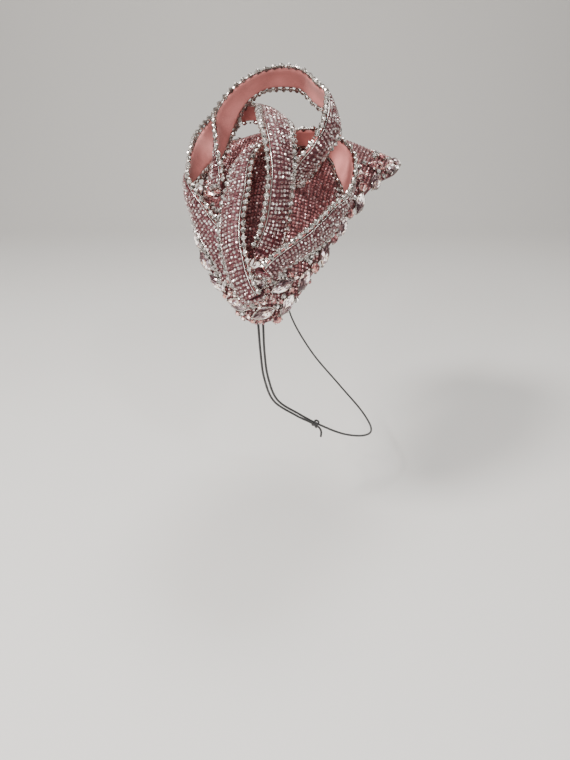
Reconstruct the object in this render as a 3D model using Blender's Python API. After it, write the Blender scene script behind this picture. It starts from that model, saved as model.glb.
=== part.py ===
"""Rhinestone fascinator: a curved leaf-shaped base that follows the head, three looped
ribbons with stone chains on both edges, two rows of set stones on the rim and a chin elastic.

Tables are in millimetres in head coordinates: the head's middle at ear level is zero,
+X is the wearer's front, +Y the wearer's left, +Z up. The finished parts are in metres,
with the origin on the underside of the base where it rests on the crown.
"""
from collections import namedtuple
from math import cos, pi, radians, sin

import bmesh
import bpy
from mathutils import Vector

MM = 0.001
CROWN_SEAT = Vector((10.0, 0.0, 140.8))
CLEARANCE = 0.3

# Base
HEAD_ARC_HEIGHT = 20.0
BASE_THICKNESS = 2.2
BASE_ROWS = 34
BASE_COLUMNS = 11
SLOPE_STEP = 0.01

# Ribbons
RIBBON_WIDTH = 15.0
RIBBON_THICKNESS = 2.6
RIBBON_CROWN = 1.4
RIBBON_STATIONS_ACROSS = (-1.0, -0.4, 0.4, 1.0)
CHAIN_DIAMETER = 3.4
CHAIN_OUTWARD = 0.4
FINE_STEPS_PER_ROW = 40

# Stones
NAVETTE_LENGTH = 15.0
NAVETTE_WIDTH = 7.4
NAVETTE_SHOULDER_ALONG = 0.58
NAVETTE_SHOULDER_OUT = 0.68
ROUND_DIAMETER = 6.4
ROUND_SIDES = 10
STONE_GIRDLE_HEIGHT = 1.6
STONE_HEIGHT = 3.4
STONE_FOOT_SCALE = 0.92
STONE_TABLE_SCALE = 0.5

# Shading: edges sharper than these angles stay crisp
BAND_SHARP_DEGREES = 50
STONE_SHARP_DEGREES = 15

# Elastic
ELASTIC_DIAMETER = 1.6
KNOT_RING_RADIUS = 2.8
KNOT_CORD_DIAMETER = 1.4
KNOT_SIDES = 12
KNOT_CENTRE = Vector((22.0, -52.4, -49.0))
KNOT_DIRECTION = Vector((0.70, 0.37, -0.61))

# One row for each section of the base, from the near tip over the head to the far tip.
# arc: angle round the head; x and radius of the back rim, the middle and the front rim.
BaseRow = namedtuple("BaseRow", "arc back_x back_r mid_x mid_r front_x front_r")
BASE_TABLE = (
    BaseRow(13.4, -19, 90.5, -15.5, 90.8, -12, 90.5),
    BaseRow(15, -25, 90, -15, 92, -6, 90.3),
    BaseRow(19, -31, 89.8, -14, 95, 2, 90),
    BaseRow(27, -40, 88.7, -12, 100, 12, 89.5),
    BaseRow(36.6, -47, 88.5, -10, 104, 20, 89.2),
    BaseRow(47.5, -52, 89.4, -8, 108, 30, 88.9),
    BaseRow(61.7, -54.5, 93, -4, 114, 42, 89.5),
    BaseRow(76, -53, 99, 3, 119, 58, 95),
    BaseRow(90, -49, 109, 10, 123, 76, 98),
    BaseRow(104, -40, 112, 15, 124, 80, 103),
    BaseRow(116, -24, 113, 18, 121, 66, 108),
    BaseRow(124, -4, 113, 20, 116, 46, 111),
    BaseRow(127, 14, 113, 21, 113.5, 28, 112.5),
)

# Ribbon stations: middle of the band, and the direction from there to its front edge.
Station = namedtuple("Station", "x y z side_x side_y side_z")
TALL_LOOP = (
    Station(-43.4, -46.6, 116, 0.63, -0.7, 0.34),
    Station(-42.5, -41, 126.5, 0.35, -0.8, 0.48),
    Station(-41.3, -36.5, 135.4, -0.05, -0.75, 0.6),
    Station(-40.3, -28.5, 142.6, -0.35, -0.62, 0.69),
    Station(-38.6, -20, 150.6, -0.55, -0.45, 0.69),
    Station(-33, -16.1, 160.9, -0.47, -0.66, 0.58),
    Station(-25, -14, 169, -0.35, -0.75, 0.55),
    Station(-14, -13, 175, -0.15, -0.75, 0.6),
    Station(0, -13, 177, 0, -0.7, 0.7),
    Station(11, -16, 175, 0.1, -0.75, 0.6),
    Station(19, -22, 168, 0.3, -0.9, 0.35),
    Station(26.3, -33, 162.5, 0, -0.8, 0.5),
    Station(28.4, -48, 155.6, -0.45, -0.7, 0.5),
    Station(25.2, -59.2, 147.4, -0.5, -0.75, 0.35),
    Station(19, -64, 139, -0.5, -0.75, 0.35),
    Station(13, -62, 131, -0.4, -0.75, 0.5),
    Station(8, -58, 123, -0.4, -0.75, 0.5),
)
CENTRE_LOOP = (
    Station(-31, -86.6, 70, 0.8, -0.2, 0.56),
    Station(-34.8, -82, 77, 0.78, -0.2, 0.6),
    Station(-39.2, -77.2, 84, 0.74, -0.2, 0.64),
    Station(-44, -72.4, 90.6, 0.7, -0.3, 0.64),
    Station(-49, -67.2, 97, 0.66, -0.5, 0.5),
    Station(-53, -62, 104, 0.55, -0.75, 0.4),
    Station(-58, -54, 111, 0.35, -0.9, 0.3),
    Station(-60, -45, 118, 0, -1, 0.1),
    Station(-57, -36, 126, -0.4, -0.9, 0.1),
    Station(-52, -25, 134, -0.65, -0.75, 0.2),
    Station(-48, -12, 141, -0.7, -0.65, 0.3),
    Station(-42, 0, 148, -0.6, -0.65, 0.45),
    Station(-34, 9, 154, -0.45, -0.65, 0.6),
    Station(-25, 12.5, 155, -0.2, -0.7, 0.62),
    Station(-16, 6.5, 155.4, -0.5, -0.5, 0.58),
    Station(-9.6, -10, 156.4, -0.8, -0.3, 0.4),
    Station(-7, -33, 155, -0.92, -0.25, 0.25),
    Station(-5, -58, 152, -0.9, -0.3, 0.15),
    Station(-3, -75, 143, -0.8, -0.6, 0.1),
    Station(-2, -84, 132, -0.75, -0.65, 0),
    Station(-3, -86, 119, -0.75, -0.65, 0),
    Station(-4.5, -86.5, 107, -0.75, -0.62, 0.02),
    Station(-6.5, -87, 97, -0.8, -0.52, 0.05),
    Station(-9, -88.5, 89, -0.85, -0.44, 0.08),
    Station(-11, -90, 84, -0.87, -0.4, 0.1),
)
LOW_LOOP = (
    Station(-20, -102, 61, 0.7, -0.65, 0.2),
    Station(-25, -99.8, 70.5, 0.7, -0.65, 0.15),
    Station(-28.8, -95.8, 81.6, 0.72, -0.63, 0.1),
    Station(-31, -90.3, 92.6, 0.72, -0.63, 0.1),
    Station(-31, -81, 104.5, 0.72, -0.63, 0.1),
    Station(-28.6, -68.6, 117, 0.7, -0.65, 0.1),
    Station(-26, -58, 129, 0.6, -0.75, 0.15),
    Station(-21, -49, 136, 0.4, -0.85, 0.25),
    Station(-13, -42, 139, 0.15, -0.9, 0.35),
    Station(-4, -37, 142, 0, -0.9, 0.4),
    Station(3, -35, 143, 0, -0.85, 0.5),
    Station(12, -36, 143, 0.05, -0.75, 0.65),
    Station(20, -36, 142, 0.2, -0.7, 0.7),
    Station(28.2, -37.1, 138.4, 0.45, -0.7, 0.55),
    Station(34.3, -40.2, 133.3, 0.65, -0.7, 0.3),
    Station(37, -45, 127, 0.6, -0.8, 0.1),
    Station(39, -53, 119, 0.25, -0.95, 0.1),
    Station(37, -61, 110, -0.1, -0.95, 0.25),
    Station(31, -69, 103, -0.35, -0.8, 0.45),
    Station(24.5, -77.5, 97.5, -0.45, -0.75, 0.5),
    Station(16, -86, 92, -0.45, -0.7, 0.5),
    Station(6, -93, 87, -0.4, -0.7, 0.5),
    Station(-4, -98, 81, -0.4, -0.7, 0.5),
    Station(-10.5, -100.5, 75.5, -0.35, -0.75, 0.5),
)
TALL_LOOP_SECTIONS = 40
CENTRE_LOOP_SECTIONS = 48
LOW_LOOP_SECTIONS = 48

# Stones on the base: arc round the head, place across it (-1 back rim, 1 front rim) and
# turn of the long axis away from the rim, in degrees.
Stone = namedtuple("Stone", "arc across turn")
FRONT_NAVETTES = (
    Stone(21, 0.78, 8),
    Stone(29.5, 0.84, 0),
    Stone(41, 0.98, 30),
    Stone(54, 0.99, 12),
    Stone(66.5, 1.0, 25),
    Stone(77.5, 0.98, 22),
    Stone(88, 0.95, 5),
    Stone(98, 0.95, 15),
    Stone(108, 0.95, 20),
)
INNER_NAVETTES = (
    Stone(27, 0.40, 135),
    Stone(18, 0.08, 125),
    Stone(27.5, -0.14, 105),
    Stone(34.5, -0.15, 125),
)
BACK_NAVETTES = (
    Stone(21, -0.72, 50),
    Stone(29.2, -0.95, 20),
    Stone(38.2, -1.0, 8),
    Stone(47.5, -1.0, 2),
    Stone(59, -1.0, 10),
    Stone(69, -1.0, 5),
    Stone(79, -1.0, 15),
    Stone(89, -1.0, 10),
    Stone(99, -1.0, 15),
    Stone(109, -1.0, 15),
)
FRONT_ROUNDS = (
    Stone(15.6, 0.95, 0),
    Stone(35, 0.95, 0),
    Stone(47.5, 0.97, 0),
    Stone(60.5, 0.98, 0),
    Stone(72, 0.92, 0),
    Stone(83, 0.83, 0),
    Stone(93, 0.82, 0),
)
BACK_ROUNDS = (
    Stone(64, -0.84, 0),
    Stone(94, -0.84, 0),
    Stone(104, -0.84, 0),
)

# Route of the elastic, from inside the near tip under the chin to inside the far tip.
RoutePoint = namedtuple("RoutePoint", "x y z")
ELASTIC_ROUTE = (
    RoutePoint(-14, -84.6, 46),
    RoutePoint(-13.5, -84.6, 38),
    RoutePoint(-13, -83.5, 20),
    RoutePoint(-11, -79, 0),
    RoutePoint(-5, -68, -22),
    RoutePoint(10, -58, -38),
    RoutePoint(25, -50, -51),
    RoutePoint(44, -37, -66),
    RoutePoint(62, -20, -77),
    RoutePoint(70, 0, -82),
    RoutePoint(64, 22, -77),
    RoutePoint(46, 42, -62),
    RoutePoint(22, 60, -38),
    RoutePoint(4, 74, -8),
    RoutePoint(0, 82, 25),
    RoutePoint(6, 83, 60),
    RoutePoint(15, 76, 88),
    RoutePoint(20, 67.5, 101),
    RoutePoint(21, 63.5, 107),
    RoutePoint(21, 61, 110.2),
)
ELASTIC_SECTIONS = 50
SECOND_STRAND_ROUTE = (
    RoutePoint(-17, -84.4, 46),
    RoutePoint(-16.5, -84.6, 38),
    RoutePoint(-15.5, -83.5, 20),
    RoutePoint(-13.5, -80, 0),
    RoutePoint(-7.5, -69.5, -22),
    RoutePoint(7.5, -59.8, -38),
    RoutePoint(17, -56, -45.1),
    RoutePoint(22, -53.3, -49.5),
    RoutePoint(25, -52, -52.7),
    RoutePoint(26.3, -51.6, -56),
    RoutePoint(26, -51.6, -60),
)
SECOND_STRAND_SECTIONS = 20


def clear_objects():
    for item in list(bpy.data.objects):
        bpy.data.objects.remove(item, do_unlink=True)


def make_material(name, colour, roughness, metallic=0.0):
    material = bpy.data.materials.new(name)
    material.use_nodes = True
    shader = material.node_tree.nodes["Principled BSDF"]
    shader.inputs["Base Color"].default_value = (*colour, 1.0)
    shader.inputs["Roughness"].default_value = roughness
    shader.inputs["Metallic"].default_value = metallic
    material.diffuse_color = (*colour, 1.0)
    return material


def to_part(point):
    return (point - CROWN_SEAT) * MM


def smooth_value(table, position):
    """Read every column of a table at a fractional row, smoothly through all its rows."""
    last = len(table) - 1
    row = min(int(position), last - 1)
    part = position - row
    before = table[row - 1] if row > 0 else [2 * a - b for a, b in zip(table[0], table[1])]
    after = table[row + 2] if row + 2 <= last else [2 * a - b for a, b in zip(table[last], table[last - 1])]
    values = []
    for p0, p1, p2, p3 in zip(before, table[row], table[row + 1], after):
        slope = p2 - p0
        bend = 2 * p0 - 5 * p1 + 4 * p2 - p3
        turn = 3 * p1 - 3 * p2 + p3 - p0
        values.append(p1 + 0.5 * part * (slope + part * (bend + part * turn)))
    return values


def even_positions(table, count):
    """Fractional rows of a route that lie at equal steps along its length."""
    fine = FINE_STEPS_PER_ROW * (len(table) - 1)
    places = [i * (len(table) - 1) / fine for i in range(fine + 1)]
    points = [Vector(smooth_value(table, place)[:3]) for place in places]
    travelled = [0.0]
    for a, b in zip(points, points[1:]):
        travelled.append(travelled[-1] + (b - a).length)
    result = []
    index = 0
    for i in range(count):
        goal = travelled[-1] * i / (count - 1)
        while index < fine - 1 and travelled[index + 1] < goal:
            index += 1
        share = (goal - travelled[index]) / (travelled[index + 1] - travelled[index])
        result.append(places[index] + min(share, 1.0) * (places[index + 1] - places[index]))
    return result


def arc_to_row(arc):
    for row, (low, high) in enumerate(zip(BASE_TABLE, BASE_TABLE[1:])):
        if arc <= high.arc:
            return row + (arc - low.arc) / (high.arc - low.arc)
    return len(BASE_TABLE) - 1


def base_point(position, across):
    """Point on the base's outer face at a fractional table row and a place across it."""
    arc, back_x, back_r, mid_x, mid_r, front_x, front_r = smooth_value(BASE_TABLE, position)
    spread = (front_x - back_x) / 2
    skew = (front_x + back_x) / 2 - mid_x
    x = mid_x + spread * across + skew * across ** 2
    radius = mid_r + (front_r - back_r) / 2 * across
    radius += ((front_r + back_r) / 2 - mid_r) * across ** 2
    angle = radians(arc)
    return Vector((x, -radius * cos(angle), HEAD_ARC_HEIGHT + radius * sin(angle)))


def base_frame(position, across):
    """Point, direction along the rim, direction across and outward normal on the base."""
    point = base_point(position, across)
    ahead = base_point(min(position + SLOPE_STEP, len(BASE_TABLE) - 1), across)
    along = (ahead - base_point(max(position - SLOPE_STEP, 0), across)).normalized()
    sideways = base_point(position, across + SLOPE_STEP) - base_point(position, across - SLOPE_STEP)
    normal = along.cross(sideways).normalized()
    if normal.dot(point - Vector((point.x, 0, HEAD_ARC_HEIGHT))) < 0:
        normal = -normal
    return point, along, normal.cross(along), normal


def add_object(name, mesh, material):
    item = bpy.data.objects.new(name, mesh)
    bpy.context.scene.collection.objects.link(item)
    mesh.materials.append(material)
    return item


def finish_mesh(name, work, material, sharp_degrees):
    """Turn a bmesh into a closed object with outward normals and smooth rounded faces."""
    bmesh.ops.recalc_face_normals(work, faces=work.faces[:])
    mesh = bpy.data.meshes.new(name)
    work.to_mesh(mesh)
    work.free()
    item = add_object(name, mesh, material)
    for face in mesh.polygons:
        face.use_smooth = True
    mesh.set_sharp_from_angle(angle=radians(sharp_degrees))
    return item


def loft(work, rings, closed_ends=True):
    """Join rings of points, given in head millimetres, into one closed skin."""
    made = [[work.verts.new(to_part(point)) for point in ring] for ring in rings]
    count = len(rings[0])
    for low, high in zip(made, made[1:]):
        for i in range(count):
            j = (i + 1) % count
            work.faces.new((low[i], low[j], high[j], high[i]))
    if closed_ends:
        work.faces.new(made[0][::-1])
        work.faces.new(made[-1])
    return made


def make_base(material):
    """Curved shell: each section is one ring that runs over the outer face and back inside."""
    work = bmesh.new()
    rings = []
    for i in range(BASE_ROWS):
        position = (len(BASE_TABLE) - 1) * i / (BASE_ROWS - 1)
        outer = []
        inner = []
        for j in range(BASE_COLUMNS):
            across = 2 * j / (BASE_COLUMNS - 1) - 1
            point, along, sideways, normal = base_frame(position, across)
            outer.append(point)
            inner.append(point - normal * BASE_THICKNESS)
        rings.append(outer + inner[::-1])
    made = loft(work, rings, closed_ends=False)
    for ring in (made[0], made[-1]):
        for j in range(BASE_COLUMNS - 1):
            opposite = 2 * BASE_COLUMNS - 1 - j
            work.faces.new((ring[j], ring[j + 1], ring[opposite - 1], ring[opposite]))
    return finish_mesh("base_shell", work, material, BAND_SHARP_DEGREES)


def ribbon_frames(table, count):
    """Middle point, width direction and outward direction at equal steps along a ribbon."""
    places = even_positions(table, count)
    values = [smooth_value(table, place) for place in places]
    points = [Vector(value[:3]) for value in values]
    frames = []
    for i, (point, value) in enumerate(zip(points, values)):
        ahead = points[min(i + 1, count - 1)] - points[max(i - 1, 0)]
        along = ahead.normalized()
        side = Vector(value[3:])
        width = (side - along * side.dot(along)).normalized()
        frames.append((point, width, width.cross(along)))
    return frames


def make_ribbon(name, frames, material):
    """Band with an arched outer face and a hollowed inner face."""
    half_width = RIBBON_WIDTH / 2
    work = bmesh.new()
    rings = []
    for point, width, outward in frames:
        outer = []
        inner = []
        for share in RIBBON_STATIONS_ACROSS:
            arch = RIBBON_CROWN * (1 - share ** 2)
            edge = point + width * share * half_width
            outer.append(edge + outward * (arch + RIBBON_THICKNESS / 2))
            inner.append(edge + outward * (arch - RIBBON_THICKNESS / 2))
        rings.append(outer + inner[::-1])
    loft(work, rings)
    return finish_mesh(name, work, material, BAND_SHARP_DEGREES)


def make_tube(name, points, diameter, material, ring=False):
    """Round tube through points in head millimetres, with filled ends or closed to a ring."""
    curve = bpy.data.curves.new(name + "_curve", "CURVE")
    curve.dimensions = "3D"
    curve.bevel_depth = diameter / 2 * MM
    curve.bevel_resolution = 2
    curve.use_fill_caps = True
    spline = curve.splines.new("POLY")
    spline.points.add(len(points) - 1)
    for target, point in zip(spline.points, points):
        target.co = (*to_part(point), 1.0)
    spline.use_smooth = True
    spline.use_cyclic_u = ring
    return add_object(name, curve, material)


def make_edge_chain(name, frames, side, material):
    """Plain round stand-in for the row of set stones along one edge of a ribbon."""
    reach = side * (RIBBON_WIDTH / 2 + CLEARANCE + CHAIN_DIAMETER / 2)
    points = [point + width * reach + outward * CHAIN_OUTWARD for point, width, outward in frames]
    return make_tube(name, points, CHAIN_DIAMETER, material)


def navette_outline():
    """Eight-sided pointed oval, long axis on the first coordinate."""
    tip = NAVETTE_LENGTH / 2
    side = NAVETTE_WIDTH / 2
    shoulder_along = tip * NAVETTE_SHOULDER_ALONG
    shoulder_out = side * NAVETTE_SHOULDER_OUT
    return (
        (tip, 0), (shoulder_along, shoulder_out), (0, side), (-shoulder_along, shoulder_out),
        (-tip, 0), (-shoulder_along, -shoulder_out), (0, -side), (shoulder_along, -shoulder_out),
    )


def round_outline():
    radius = ROUND_DIAMETER / 2
    step = 2 * pi / ROUND_SIDES
    return tuple((radius * cos(step * i), radius * sin(step * i)) for i in range(ROUND_SIDES))


def make_stone(name, stone, outline, material):
    """Cut stone in its setting: foot, girdle and table, seated just above the base."""
    point, along, sideways, normal = base_frame(arc_to_row(stone.arc), stone.across)
    turn = radians(stone.turn)
    long_axis = along * cos(turn) + sideways * sin(turn)
    short_axis = normal.cross(long_axis)
    levels = ((0.0, STONE_FOOT_SCALE), (STONE_GIRDLE_HEIGHT, 1.0), (STONE_HEIGHT, STONE_TABLE_SCALE))
    rings = []
    for height, scale in levels:
        seat = point + normal * (CLEARANCE + height)
        rings.append([seat + long_axis * a * scale + short_axis * b * scale for a, b in outline])
    work = bmesh.new()
    loft(work, rings)
    return finish_mesh(name, work, material, STONE_SHARP_DEGREES)


def make_stones(prefix, stones, outline, material):
    for number, stone in enumerate(stones, start=1):
        make_stone(f"{prefix}_{number:02d}", stone, outline, material)


def route_points(table, count):
    return [Vector(smooth_value(table, place)) for place in even_positions(table, count)]


def make_elastic(material):
    main = route_points(ELASTIC_ROUTE, ELASTIC_SECTIONS)
    make_tube("chin_elastic", main, ELASTIC_DIAMETER, material)
    second = route_points(SECOND_STRAND_ROUTE, SECOND_STRAND_SECTIONS)
    make_tube("second_elastic_strand", second, ELASTIC_DIAMETER, material)
    first_axis = KNOT_DIRECTION.cross(Vector((0, 0, 1))).normalized()
    second_axis = KNOT_DIRECTION.cross(first_axis).normalized()
    ring = []
    for i in range(KNOT_SIDES):
        angle = 2 * pi * i / KNOT_SIDES
        spoke = first_axis * cos(angle) + second_axis * sin(angle)
        ring.append(KNOT_CENTRE + spoke * KNOT_RING_RADIUS)
    make_tube("elastic_knot", ring, KNOT_CORD_DIAMETER, material, ring=True)


def make_materials():
    return {
        "base": make_material("rose_mesh_fabric", (0.42, 0.17, 0.18), 0.5),
        "ribbon": make_material("pink_lining_fabric", (0.72, 0.33, 0.31), 0.85),
        "chain": make_material("silver_stone_chain", (0.78, 0.76, 0.76), 0.2, 0.7),
        "navette": make_material("pale_pink_crystal", (0.88, 0.72, 0.72), 0.08, 0.1),
        "round": make_material("rose_crystal", (0.66, 0.28, 0.27), 0.1, 0.1),
        "elastic": make_material("black_elastic", (0.015, 0.015, 0.016), 0.7),
    }


def make_ribbons(materials):
    loops = (
        ("tall_loop", TALL_LOOP, TALL_LOOP_SECTIONS),
        ("centre_loop", CENTRE_LOOP, CENTRE_LOOP_SECTIONS),
        ("low_loop", LOW_LOOP, LOW_LOOP_SECTIONS),
    )
    for name, table, count in loops:
        frames = ribbon_frames(table, count)
        make_ribbon(name + "_ribbon", frames, materials["ribbon"])
        make_edge_chain(name + "_chain_front", frames, 1, materials["chain"])
        make_edge_chain(name + "_chain_back", frames, -1, materials["chain"])


def main():
    clear_objects()
    materials = make_materials()
    make_base(materials["base"])
    make_ribbons(materials)
    outline = navette_outline()
    make_stones("front_navette", FRONT_NAVETTES, outline, materials["navette"])
    make_stones("inner_navette", INNER_NAVETTES, outline, materials["navette"])
    make_stones("back_navette", BACK_NAVETTES, outline, materials["navette"])
    make_stones("front_round", FRONT_ROUNDS, round_outline(), materials["round"])
    make_stones("back_round", BACK_ROUNDS, round_outline(), materials["round"])
    make_elastic(materials["elastic"])


main()
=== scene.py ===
"""Finished looks of a rhinestone fascinator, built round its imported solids.

Tables are in millimetres from a point inside the hollow: +X is the front when worn, +Y the
left side and +Z up. Every mesh is put down in metres in the frame of the solids, whose
origin is where the base rests, the CROWN_SEAT of the tables.
"""
from collections import namedtuple
from math import cos, pi, radians, sin

import bpy
import numpy as np
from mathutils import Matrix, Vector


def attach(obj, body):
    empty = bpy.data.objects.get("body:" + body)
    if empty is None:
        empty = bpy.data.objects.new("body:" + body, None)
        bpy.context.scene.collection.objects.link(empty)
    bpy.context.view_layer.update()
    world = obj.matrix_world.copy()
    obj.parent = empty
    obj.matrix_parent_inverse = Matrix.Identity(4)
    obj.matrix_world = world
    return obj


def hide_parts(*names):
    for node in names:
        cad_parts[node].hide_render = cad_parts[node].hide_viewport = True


bl_info = {
    "name": "Rhinestone fascinator",
    "version": (1, 0, 0),
    "blender": (4, 5, 0),
    "location": "3D View > Sidebar > Fascinator",
    "description": "Leaf-shaped base with looped ribbons, stone chains, set stones and a chin elastic",
    "category": "Add Mesh",
}

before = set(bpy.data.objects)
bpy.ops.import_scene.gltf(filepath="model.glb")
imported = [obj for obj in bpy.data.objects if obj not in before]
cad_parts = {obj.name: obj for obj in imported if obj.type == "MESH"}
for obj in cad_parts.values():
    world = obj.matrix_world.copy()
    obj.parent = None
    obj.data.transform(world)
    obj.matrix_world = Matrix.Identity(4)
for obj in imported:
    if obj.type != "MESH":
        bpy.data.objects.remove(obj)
NODES = sorted(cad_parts)

MM = 0.001
BODY = "root"
CROWN_SEAT = np.array((10.0, 0.0, 140.8))
FINE_STEPS = 3000
SLOPE_STEP = 0.01

# Random numbers: each use has its own stream, and these start the streams of each kind
SEED = 11
FACET_STREAM = 100
LIGHT_STREAM = 200
TILT_STREAM = 300
# Painted highlight added to each stone's table and painted shade taken from its other facets
TABLE_PAINTED_HIGHLIGHT = 0.16
SIDES_PAINTED_SHADE = 0.05
SHIFT_PER_LEAN = 0.7
# Most that a stone leans to each side, as a part of its upward direction
BASE_TILT = 0.12
RIBBON_TILT = 0.34
END_TILT = 0.22
CHAIN_TILT = 0.12
ACCENT_TILT = 0.15


def rows(kind, values):
    """Rows of a table, with their columns named."""
    return tuple(kind(*row) for row in values)


# Base shell
ARC_CENTRE_HEIGHT = 20.0
BASE_THICKNESS = 2.2
BASE_ROWS = 150
BASE_COLUMNS = 49
HALF_STEPS = 30
BaseRow = namedtuple("BaseRow", "arc back_x back_r mid_x mid_r front_x front_r")
BASE_TABLE = rows(BaseRow, (
    (13.4, -19, 90.5, -15.5, 90.8, -12, 90.5), (15, -25, 90, -15, 92, -6, 90.3),
    (19, -31, 89.8, -14, 95, 2, 90), (27, -40, 88.7, -12, 100, 12, 89.5),
    (36.6, -47, 88.5, -10, 104, 20, 89.2), (47.5, -52, 89.4, -8, 108, 30, 88.9),
    (61.7, -54.5, 93, -4, 114, 42, 89.5), (76, -53, 99, 3, 119, 58, 95),
    (90, -49, 109, 10, 123, 76, 98), (104, -40, 112, 15, 124, 80, 103),
    (116, -24, 113, 18, 121, 66, 108), (124, -4, 113, 20, 116, 46, 111),
    (127, 14, 113, 21, 113.5, 28, 112.5),
))

# Ribbons: middle of the band, and the direction from there to its front edge
RIBBON_WIDTH = 15.0
RIBBON_THICKNESS = 2.6
RIBBON_CROWN = 1.4
RIBBON_STEP = 1.5
BAND_COLUMNS = 11
# Tucked ends: rows, start inside the band, reach before the bend, and narrowing at the base
TUCK_ROWS = 9
TUCK_OVERLAP = 0.4
TUCK_REACH = 1.2
TUCK_NARROWING = 0.28
END_STEP = 0.02
CHAIN_REACH = 9.5
CHAIN_OUTWARD = 0.4
Station = namedtuple("Station", "x y z side_x side_y side_z")
TALL_LOOP = rows(Station, (
    (-43.4, -46.6, 116, 0.63, -0.7, 0.34), (-42.5, -41, 126.5, 0.35, -0.8, 0.48),
    (-41.3, -36.5, 135.4, -0.05, -0.75, 0.6), (-40.3, -28.5, 142.6, -0.35, -0.62, 0.69),
    (-38.6, -20, 150.6, -0.55, -0.45, 0.69), (-33, -16.1, 160.9, -0.47, -0.66, 0.58),
    (-25, -14, 169, -0.35, -0.75, 0.55), (-14, -13, 175, -0.15, -0.75, 0.6),
    (0, -13, 177, 0, -0.7, 0.7), (11, -16, 175, 0.1, -0.75, 0.6), (19, -22, 168, 0.3, -0.9, 0.35),
    (26.3, -33, 162.5, 0, -0.8, 0.5), (28.4, -48, 155.6, -0.45, -0.7, 0.5),
    (25.2, -59.2, 147.4, -0.5, -0.75, 0.35), (19, -64, 139, -0.5, -0.75, 0.35),
    (13, -62, 131, -0.4, -0.75, 0.5), (8, -58, 123, -0.4, -0.75, 0.5),
))
CENTRE_LOOP = rows(Station, (
    (-31, -86.6, 70, 0.8, -0.2, 0.56), (-34.8, -82, 77, 0.78, -0.2, 0.6),
    (-39.2, -77.2, 84, 0.74, -0.2, 0.64), (-44, -72.4, 90.6, 0.7, -0.3, 0.64),
    (-49, -67.2, 97, 0.66, -0.5, 0.5), (-53, -62, 104, 0.55, -0.75, 0.4),
    (-58, -54, 111, 0.35, -0.9, 0.3), (-60, -45, 118, 0, -1, 0.1), (-57, -36, 126, -0.4, -0.9, 0.1),
    (-52, -25, 134, -0.65, -0.75, 0.2), (-48, -12, 141, -0.7, -0.65, 0.3),
    (-42, 0, 148, -0.6, -0.65, 0.45), (-34, 9, 154, -0.45, -0.65, 0.6),
    (-25, 12.5, 155, -0.2, -0.7, 0.62), (-16, 6.5, 155.4, -0.5, -0.5, 0.58),
    (-9.6, -10, 156.4, -0.8, -0.3, 0.4), (-7, -33, 155, -0.92, -0.25, 0.25),
    (-5, -58, 152, -0.9, -0.3, 0.15), (-3, -75, 143, -0.8, -0.6, 0.1), (-2, -84, 132, -0.75, -0.65, 0),
    (-3, -86, 119, -0.75, -0.65, 0), (-4.5, -86.5, 107, -0.75, -0.62, 0.02),
    (-6.5, -87, 97, -0.8, -0.52, 0.05), (-9, -88.5, 89, -0.85, -0.44, 0.08),
    (-11, -90, 84, -0.87, -0.4, 0.1),
))
LOW_LOOP = rows(Station, (
    (-20, -102, 61, 0.7, -0.65, 0.2), (-25, -99.8, 70.5, 0.7, -0.65, 0.15),
    (-28.8, -95.8, 81.6, 0.72, -0.63, 0.1), (-31, -90.3, 92.6, 0.72, -0.63, 0.1),
    (-31, -81, 104.5, 0.72, -0.63, 0.1), (-28.6, -68.6, 117, 0.7, -0.65, 0.1),
    (-26, -58, 129, 0.6, -0.75, 0.15), (-21, -49, 136, 0.4, -0.85, 0.25),
    (-13, -42, 139, 0.15, -0.9, 0.35), (-4, -37, 142, 0, -0.9, 0.4), (3, -35, 143, 0, -0.85, 0.5),
    (12, -36, 143, 0.05, -0.75, 0.65), (20, -36, 142, 0.2, -0.7, 0.7),
    (28.2, -37.1, 138.4, 0.45, -0.7, 0.55), (34.3, -40.2, 133.3, 0.65, -0.7, 0.3),
    (37, -45, 127, 0.6, -0.8, 0.1), (39, -53, 119, 0.25, -0.95, 0.1), (37, -61, 110, -0.1, -0.95, 0.25),
    (31, -69, 103, -0.35, -0.8, 0.45), (24.5, -77.5, 97.5, -0.45, -0.75, 0.5),
    (16, -86, 92, -0.45, -0.7, 0.5), (6, -93, 87, -0.4, -0.7, 0.5), (-4, -98, 81, -0.4, -0.7, 0.5),
    (-10.5, -100.5, 75.5, -0.35, -0.75, 0.5),
))
LOOPS = {"tall_loop": TALL_LOOP, "centre_loop": CENTRE_LOOP, "low_loop": LOW_LOOP}

# Stones on the base: arc round the hollow, place across it (-1 back rim, 1 front rim) and
# turn of the long axis away from the rim, in degrees
NAVETTE_LENGTH = 15.0
NAVETTE_WIDTH = 7.4
ROUND_DIAMETER = 6.4
SEAT_GAP = 0.3
Stone = namedtuple("Stone", "arc across turn")
NAVETTES = {
    "front": rows(Stone, (
        (21, 0.78, 8), (29.5, 0.84, 0), (41, 0.98, 30), (54, 0.99, 12), (66.5, 1.0, 25),
        (77.5, 0.98, 22), (88, 0.95, 5), (98, 0.95, 15), (108, 0.95, 20),
    )),
    "inner": rows(Stone, (
        (27, 0.40, 135), (18, 0.08, 125), (27.5, -0.14, 105), (34.5, -0.15, 125),
    )),
    "back": rows(Stone, (
        (21, -0.72, 50), (29.2, -0.95, 20), (38.2, -1.0, 8), (47.5, -1.0, 2), (59, -1.0, 10),
        (69, -1.0, 5), (79, -1.0, 15), (89, -1.0, 10), (99, -1.0, 15), (109, -1.0, 15),
    )),
}
ROUNDS = {
    "front": rows(Stone, (
        (15.6, 0.95, 0), (35, 0.95, 0), (47.5, 0.97, 0), (60.5, 0.98, 0), (72, 0.92, 0), (83, 0.83, 0),
        (93, 0.82, 0),
    )),
    "back": rows(Stone, (
        (64, -0.84, 0), (94, -0.84, 0), (104, -0.84, 0),
    )),
}
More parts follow.
